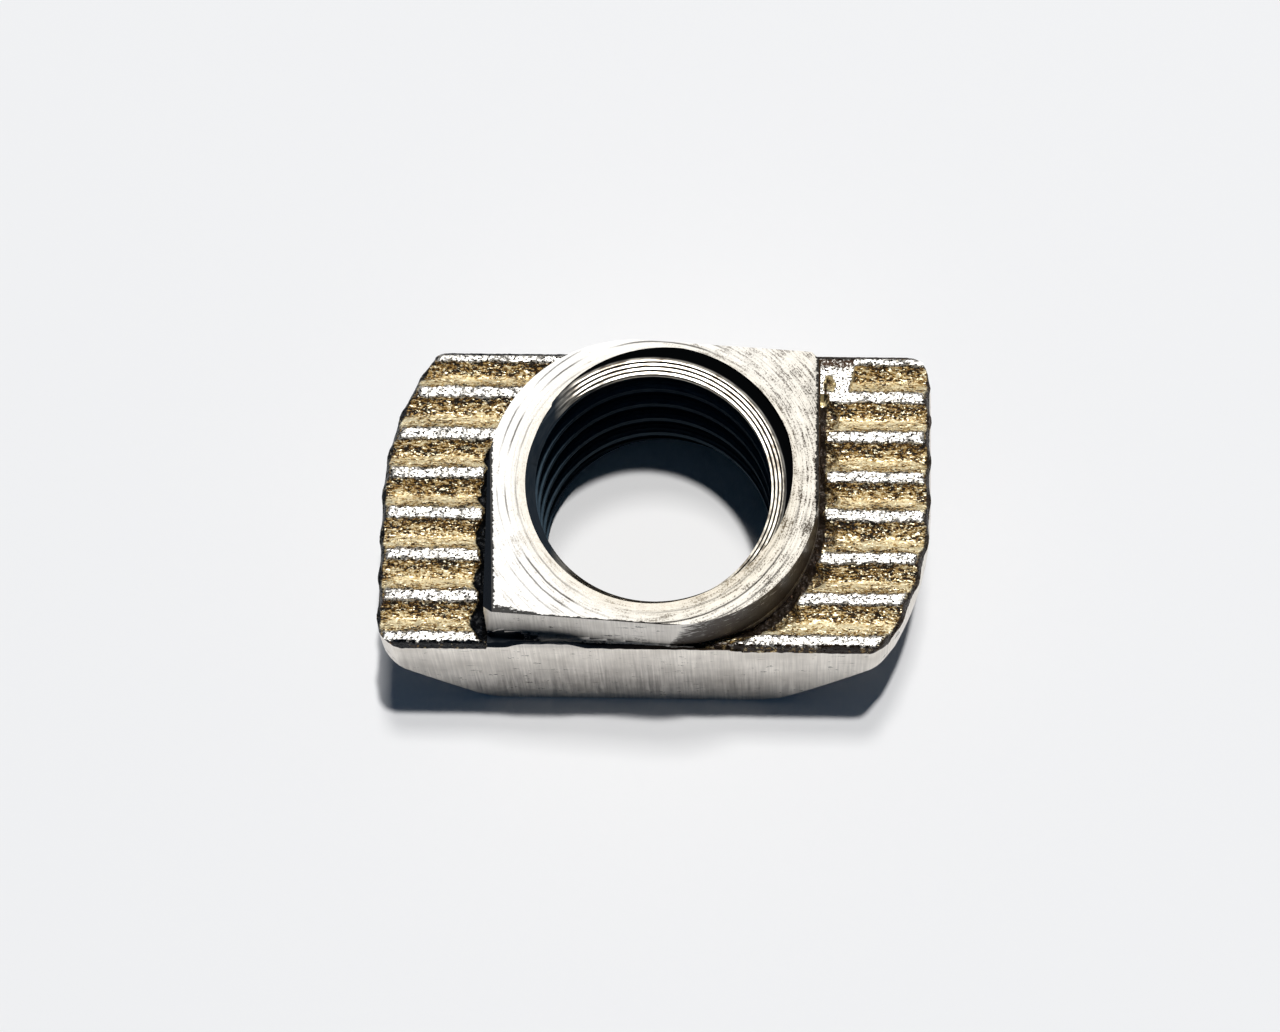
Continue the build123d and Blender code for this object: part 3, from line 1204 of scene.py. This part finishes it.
@dataclass
class Head:
    """The hammer head: arcs at two corners, straight ends, bevelled underside."""

    length: float = LENGTH
    width: float = WIDTH
    square_radius: float = 0.45
    arc_radius: float = 0.38
    half_flat: float = 3.50
    half_flat_corner: float = 3.09
    bevel_rise: float = 2.42
    bevel_rise_corner: float = 2.39
    knuckle: float = 0.50
    levels: tuple[float, ...] = (2.75, 2.9, 3.0, 3.1, 3.2, 3.3)
    cap: float = 3.8
    edge_softness: float = 0.03
    scallop: float = 0.055
    belly: float = 0.045
    steps: int = 320
    flats: int = 7

    def towards_corner(self, reach: float, z: float, share: float) -> tuple[float, float]:
        """Moves a point of the end section from the middle towards a square corner.

        Args:
            reach: Distance from the middle, along X.
            z: Height.
            share: How far across the head it lies, from 0 to 1.

        Returns:
            The new reach and height.
        """
        low = max(0.0, 1 - z / self.bevel_rise)
        rise = self.bevel_rise_corner - self.bevel_rise
        if z < self.bevel_rise:
            lift = rise * z / self.bevel_rise
        else:
            lift = rise * (self.cap - z) / (self.cap - self.bevel_rise)
        return reach - share * low * (self.half_flat - self.half_flat_corner), z + share * lift

    def bulge(self, x: float, y: float, z: float, ridges: Serrations) -> float:
        """Says how far coining pushed the end wall out beside each valley.

        Args:
            x: Along the head.
            y: Across it.
            z: Height.
            ridges: The serrations.

        Returns:
            The distance.
        """
        away, row = ridges.crest_distance(x, y)
        share = smoothstep(0.08, ridges.pitch / 2, away)
        high = smoothstep(CREST_HEIGHT - 0.55, CREST_HEIGHT - 0.2, z)
        lobe = self.scallop * high * (share + 0.35 * ripple(y, row * 2.0, z, 0.2))
        return max(lobe, self.belly * (1 - smoothstep(2.7, CREST_HEIGHT - 0.1, z)))

    def build(self, ridges: Serrations) -> bpy.types.Object:
        """Spins the end section, squares two quarters of it, then shaves the sides.

        Args:
            ridges: The serrations, which scallop the top of the end walls.

        Returns:
            The head without its serrated top.
        """
        half, side = self.length / 2, self.width / 2
        bm = bmesh.new()
        wall = [(half, z) for z in (self.bevel_rise, *self.levels, self.cap)]
        chain = draw_line(bm, [(self.half_flat, 0.0), *wall])
        start = bm.verts.new((self.half_flat - 0.9, 0, 0))
        bm.edges.new((start, chain[0]))
        soften(bm, [chain[0]], self.knuckle * math.tan(math.radians(30)), 6, "VERTICES")
        spin(bm, 1, self.steps, 0.0, True)
        bmesh.ops.remove_doubles(bm, verts=bm.verts[:], dist=WELD)
        for vert in bm.verts:
            x, y, z = vert.co
            reach = math.hypot(x, y)
            push = self.bulge(x, y, z, ridges) if reach > half - 0.01 else 0.0
            if x * y > 0:
                reach, z = self.towards_corner(reach, z, min(1.0, abs(y) / side))
                vert.co = (math.copysign(reach + push, x), y, z)
            else:
                grow = 1 + push / reach
                vert.co = (x * grow, y * grow, z)
        cap(bm)
        bmesh.ops.recalc_face_normals(bm, faces=bm.faces[:])
        for way in (1, -1):
            shave(bm, Vector((0, way * side, 0)), Vector((0, way, 0)), Zone.FORMED)
        self.round_corners(bm)
        settle(bm)
        soften(bm, sharp_edges(bm, 0.6, -self.cap), self.edge_softness, 2)
        return as_object(bm, "head")

    def round_corners(self, bm: bmesh.types.BMesh) -> None:
        """Shaves the four upright corners round, one tangent flat at a time.

        Args:
            bm: The head.
        """
        half, side = self.length / 2, self.width / 2
        inner, r = side - self.arc_radius, self.square_radius
        arc_x = math.sqrt((half - self.arc_radius) ** 2 - inner**2)
        for turn in (1, -1):
            square = Vector((-turn * (half - r), -turn * (side - r), 0))
            curved = Vector((turn * arc_x, -turn * inner, 0))
            lean = math.atan2(inner, arc_x)
            for centre, radius, first, way in (
                (square, r, 0.0, -turn),
                (curved, self.arc_radius, lean, turn),
            ):
                for k in range(1, self.flats):
                    angle = first + (math.pi / 2 - first) * k / self.flats
                    out = Vector((way * math.cos(angle), -turn * math.sin(angle), 0))
                    shave(bm, centre + radius * out, out, Zone.FORMED)


@dataclass
class TappedBore:
    """An M5 x 0.8 thread with a small mouth above and a wide one below."""

    major: float = 2.55
    minor: float = 2.10
    pitch: float = 0.80
    mouth: float = 2.27
    mouth_depth: float = 0.35
    low_mouth: float = 2.60
    low_depth: float = 0.7
    over: float = 0.3
    top: float = HEIGHT
    flank: float = math.tan(math.radians(30))
    open_angle: float = math.radians(50)
    seam: float = 0.02
    tears: int = 4
    tear_width: float = 0.068
    tread: float = 0.5
    root_flat: float = 0.13
    steps: int = 96

    def treads(self, level: float) -> list[tuple[float, float]]:
        """Steps the inner part of the upward flank, as a worn tap tears it.

        Args:
            level: Height of the crest's upper corner.

        Returns:
            Radius and height of each corner, outwards.
        """
        steps = []
        for k in range(self.tears):
            reach = self.minor + k * self.tear_width
            rise = level + k * self.tear_width * self.flank
            steps.append((reach, rise))
            steps.append((reach + self.tread * self.tear_width, rise + 0.05 * self.tear_width))
        return steps

    def screw(self) -> bpy.types.Object:
        """Spins one pitch of the thread form up the bore as a helix.

        Returns:
            A solid as an M5 tap leaves it, longer than the bore.
        """
        run = (self.major - self.minor) * self.flank
        flat, half = self.root_flat / 2, self.pitch / 2
        turns = math.ceil((self.top + 2.4) / self.pitch)
        base = self.top - self.pitch * self.open_angle / FULL_TURN
        base -= self.pitch * (turns - 2)
        form = (
            (self.minor + self.seam, -half),
            (self.minor, self.seam * 2 - half),
            *self.treads(-flat - run),
            (self.major, -flat),
            (self.major, flat),
            (self.minor, flat + run),
            (self.minor, half - self.seam * 2),
            (self.minor + self.seam, half),
        )
        bm = bmesh.new()
        draw_line(bm, [(x, base + z) for x, z in form])
        spin(bm, turns, self.steps, self.pitch / self.steps, False)
        bmesh.ops.remove_doubles(bm, verts=bm.verts[:], dist=WELD * 5)
        for level, way in ((-0.4, -1), (self.top + 0.4, 1)):
            shave(bm, Vector((0, 0, level)), Vector((0, 0, way)), Zone.TAPPED)
        return self.on_axis(bm, "tap")

    def cone(self, low: float, high: float, at_low: float, at_high: float) -> bpy.types.Object:
        """Makes a countersink on the bore's axis.

        Args:
            low: Height of the cone's lower end.
            high: Height of its upper end.
            at_low: Radius at the lower end.
            at_high: Radius at the upper end.

        Returns:
            The cone.
        """
        bm = bmesh.new()
        bmesh.ops.create_cone(bm, cap_ends=True, segments=self.steps * 2, radius1=at_low,
                              radius2=at_high, depth=high - low)
        bmesh.ops.translate(bm, verts=bm.verts[:], vec=(0, 0, (low + high) / 2))
        return self.on_axis(bm, "countersink")

    @staticmethod
    def on_axis(bm: bmesh.types.BMesh, name: str) -> bpy.types.Object:
        """Moves a cutting tool to the bore's axis, which is off the head's middle.

        Args:
            bm: The tool, turned about Z.
            name: Its name.

        Returns:
            The tool as an object.
        """
        mark(bm.faces, Zone.TAPPED)
        bmesh.ops.translate(bm, verts=bm.verts[:], vec=(0, AXIS_Y, 0))
        return as_object(bm, name)

    def tools(self) -> list[bpy.types.Object]:
        """Makes the tap and both countersinks.

        Returns:
            The solids to cut from the nut.
        """
        deep, over, top = self.mouth_depth, self.over, self.top
        upper = self.cone(top - deep, top + over, self.mouth - deep, self.mouth + over)
        deep = self.low_depth
        lower = self.cone(-over, deep, self.low_mouth + over, self.low_mouth - deep)
        return [self.screw(), upper, lower]


@dataclass
class DropInNut:
    """The whole nut, one cold-formed, tapped and plated piece."""

    collar: Collar = field(default_factory=Collar)
    ridges: Serrations = field(default_factory=Serrations)
    head: Head = field(default_factory=Head)
    bore: TappedBore = field(default_factory=TappedBore)
    smooth_angle: float = math.radians(32)

    def build(self) -> bpy.types.Object:
        """Joins the head, its serrated top and the collar, then taps the bore.

        Returns:
            The finished nut in metres.
        """
        body = self.head.build(self.ridges)
        combine(body, self.ridges.build(self.collar), Cut.KEEP)
        combine(body, self.collar.build(), Cut.JOIN)
        for tool in self.bore.tools():
            combine(body, tool, Cut.REMOVE)
        self.clean(body.data)
        body.name = body.data.name = "plated_t_nut"
        body.data.transform(Matrix.Scale(MM, 4))
        for polygon in body.data.polygons:
            polygon.use_smooth = True
            x, y, _ = polygon.center / MM
            if polygon.material_index == Zone.SERRATED and self.ridges.in_strip(x, y, self.collar):
                polygon.material_index = Zone.FORMED
        body.data.set_sharp_from_angle(angle=self.smooth_angle)
        self.shade_and_stain(body.data)
        return body

    @staticmethod
    def clean(mesh: bpy.types.Mesh) -> None:
        """Merges the hair-thin slivers that the cuts leave, and splits many-sided faces.

        Args:
            mesh: The cut nut. Two of its faces on the same corners are a folded sliver, and go.
        """
        bm = bmesh.new()
        bm.from_mesh(mesh)
        bmesh.ops.dissolve_degenerate(bm, dist=SLIVER, edges=bm.edges[:])
        bmesh.ops.triangulate(bm, faces=[f for f in bm.faces if len(f.verts) > 4])
        bmesh.ops.dissolve_degenerate(bm, dist=SLIVER, edges=bm.edges[:])
        twins: dict[frozenset[Any], list[Any]] = {}
        for face in bm.faces:
            twins.setdefault(frozenset(face.verts), []).append(face)
        folded = [face for pair in twins.values() if len(pair) > 1 for face in pair]
        bmesh.ops.delete(bm, geom=folded, context="FACES")
        bm.to_mesh(mesh)
        bm.free()

    def shade_and_stain(self, mesh: bpy.types.Mesh) -> None:
        """Notes at each face corner the painted shade and staining, and the painted light on the
        wings.

        Args:
            mesh: The finished nut, in metres.
        """
        shade_and_soil = mesh.attributes.new(SHADE_AND_SOIL, "FLOAT", "CORNER").data
        tone = mesh.attributes.new(PAINTED_LIGHT, "FLOAT", "CORNER").data
        for polygon in mesh.polygons:
            zone = polygon.material_index
            if zone not in (Zone.SERRATED, Zone.FORMED):
                continue
            for corner in polygon.loop_indices:
                spot = mesh.vertices[mesh.loops[corner].vertex_index].co / MM
                # Painted shade and staining, and the wings' painted light.
                shade_and_soil[corner].value = self.ridges.shade_and_soil(spot, polygon.normal, zone, self.collar)
                if zone == Zone.SERRATED:
                    tone[corner].value = self.ridges.tone(spot.x, spot.y, self.collar)

    def dress(self, body: bpy.types.Object) -> None:
        """Gives each surface its finish and ties the nut to the frame.

        Args:
            body: The finished nut.
        """
        turn, front_edge = self.collar.turn, self.collar.width / 2
        finishes = {
            Zone.FORMED: ColdFormedNickel("cold_formed_nickel_plate", 0.36),
            Zone.SERRATED: SerratedNickel("coined_serration_plate", 0.45),
            Zone.MACHINED: FacedNickel("faced_nickel_plate", 0.60, turn, front_edge),
            Zone.TAPPED: TappedNickel("tapped_bore_plate", 0.34),
        }
        for zone, finish in finishes.items():
            body.data.materials[zone] = finish.material()
        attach(body, "root")
        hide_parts("nut_body")
        LOG.info("%s: %d faces", body.name, len(body.data.polygons))


# ---------------------------------------------------------------- paper, light and camera
@dataclass(frozen=True)
class Lamp:
    """A square lamp that faces the nut."""

    name: str
    way: Triple
    size: float
    power: float
    distance: float = 0.5

    def hang(self) -> None:
        """Hangs the lamp at its distance, in metres."""
        data = bpy.data.lights.new(self.name, "AREA")
        data.shape, data.size, data.energy = "SQUARE", self.size, self.power
        lamp = bpy.data.objects.new(self.name, data)
        place = Vector(self.way).normalized() * self.distance
        turn = place.to_track_quat("Z", "Y").to_matrix().to_4x4()
        lamp.matrix_world = Matrix.Translation(place) @ turn
        bpy.context.scene.collection.objects.link(lamp)


@dataclass
class Studio:
    """White paper, one small lamp almost overhead, soft fill, and the camera."""

    paper_size: float = 1.2
    lamps: tuple[Lamp, ...] = (
        Lamp("lamp", (0.083, 0.098, 1.0), 0.018, 1.72),
        Lamp("second_lamp", (0.03, 0.225, 1.0), 0.055, 0.76),
    )
    room_white: str = "#5A5956"
    room_dark: str = "#15191E"
    room_glow: str = "#1B3044"
    window_way: Triple = (0.0, 0.70, 0.71)
    window_edge: tuple[float, float] = (0.84, 0.97)
    lens: float = 119.41
    sensor: float = 36.0
    camera_place: Triple = (2.815, -23.84, 75.83)
    elevation: float = 71.878
    azimuth: float = 7.460
    roll: float = -6.441

    def lay_paper(self) -> None:
        """Lays the sheet of paper under the nut."""
        bm = bmesh.new()
        bmesh.ops.create_grid(bm, x_segments=2, y_segments=2, size=self.paper_size)
        sheet = as_object(bm, "paper")
        sheet.data.materials.clear()
        sheet.data.materials.append(MattPaper("matt_white_paper", 0.9).material())

    def light(self) -> None:
        """Hangs the lamps in a dim room with one pale window behind the nut."""
        for lamp in self.lamps:
            lamp.hang()
        world = bpy.data.worlds.new("room")
        world.use_nodes = True
        world.node_tree.nodes.clear()
        node = partial(add, world.node_tree)
        place = node("TexCoord", out="Generated")
        toward = node("VectorMath", (place, self.window_way), operation="DOT_PRODUCT")
        edge = (toward, *self.window_edge)
        level = node("MapRange", edge, interpolation_type="SMOOTHSTEP")
        room = coat(node, self.room_dark, (level, self.room_white))
        path = node("LightPath", (), None).outputs
        rays = (path[k] for k in ("Is Camera Ray", "Is Glossy Ray", "Is Transmission Ray"))
        colour = coat(node, self.room_glow, (gather(node, "MAXIMUM", *rays), room))
        node("OutputWorld", (node("Background", {"Color": colour, "Strength": 1.0}),), None)
        world.cycles.sampling_method = "NONE"
        bpy.context.scene.world = world

    def aim(self) -> None:
        """Places the camera high over the front of the nut, with a slight roll."""
        e, a, r = (math.radians(v) for v in (self.elevation, self.azimuth, self.roll))
        back = Vector((math.sin(a) * math.cos(e), -math.cos(a) * math.cos(e), math.sin(e)))
        level = Vector((math.cos(a), math.sin(a), 0))
        upright = back.cross(level)
        right = level * math.cos(r) + upright * math.sin(r)
        up = upright * math.cos(r) - level * math.sin(r)
        data = bpy.data.cameras.new("camera")
        data.lens, data.sensor_width = self.lens, self.sensor
        data.clip_start, data.clip_end = 0.001, 10.0
        camera = bpy.data.objects.new("camera", data)
        turn = Matrix((right, up, back)).transposed().to_4x4()
        camera.matrix_world = Matrix.Translation(Vector(self.camera_place) * MM) @ turn
        bpy.context.scene.collection.objects.link(camera)
        bpy.context.scene.camera = camera


def main() -> None:
    """Builds the nut, lays the paper, hangs the lamps and places the camera."""
    logging.basicConfig(level=logging.INFO, format="%(name)s: %(message)s")
    nut = DropInNut()
    nut.dress(nut.build())
    studio = Studio()
    studio.lay_paper()
    studio.light()
    studio.aim()
    bpy.context.scene.view_settings.view_transform = "Standard"


if __name__ == "__main__":
    main()
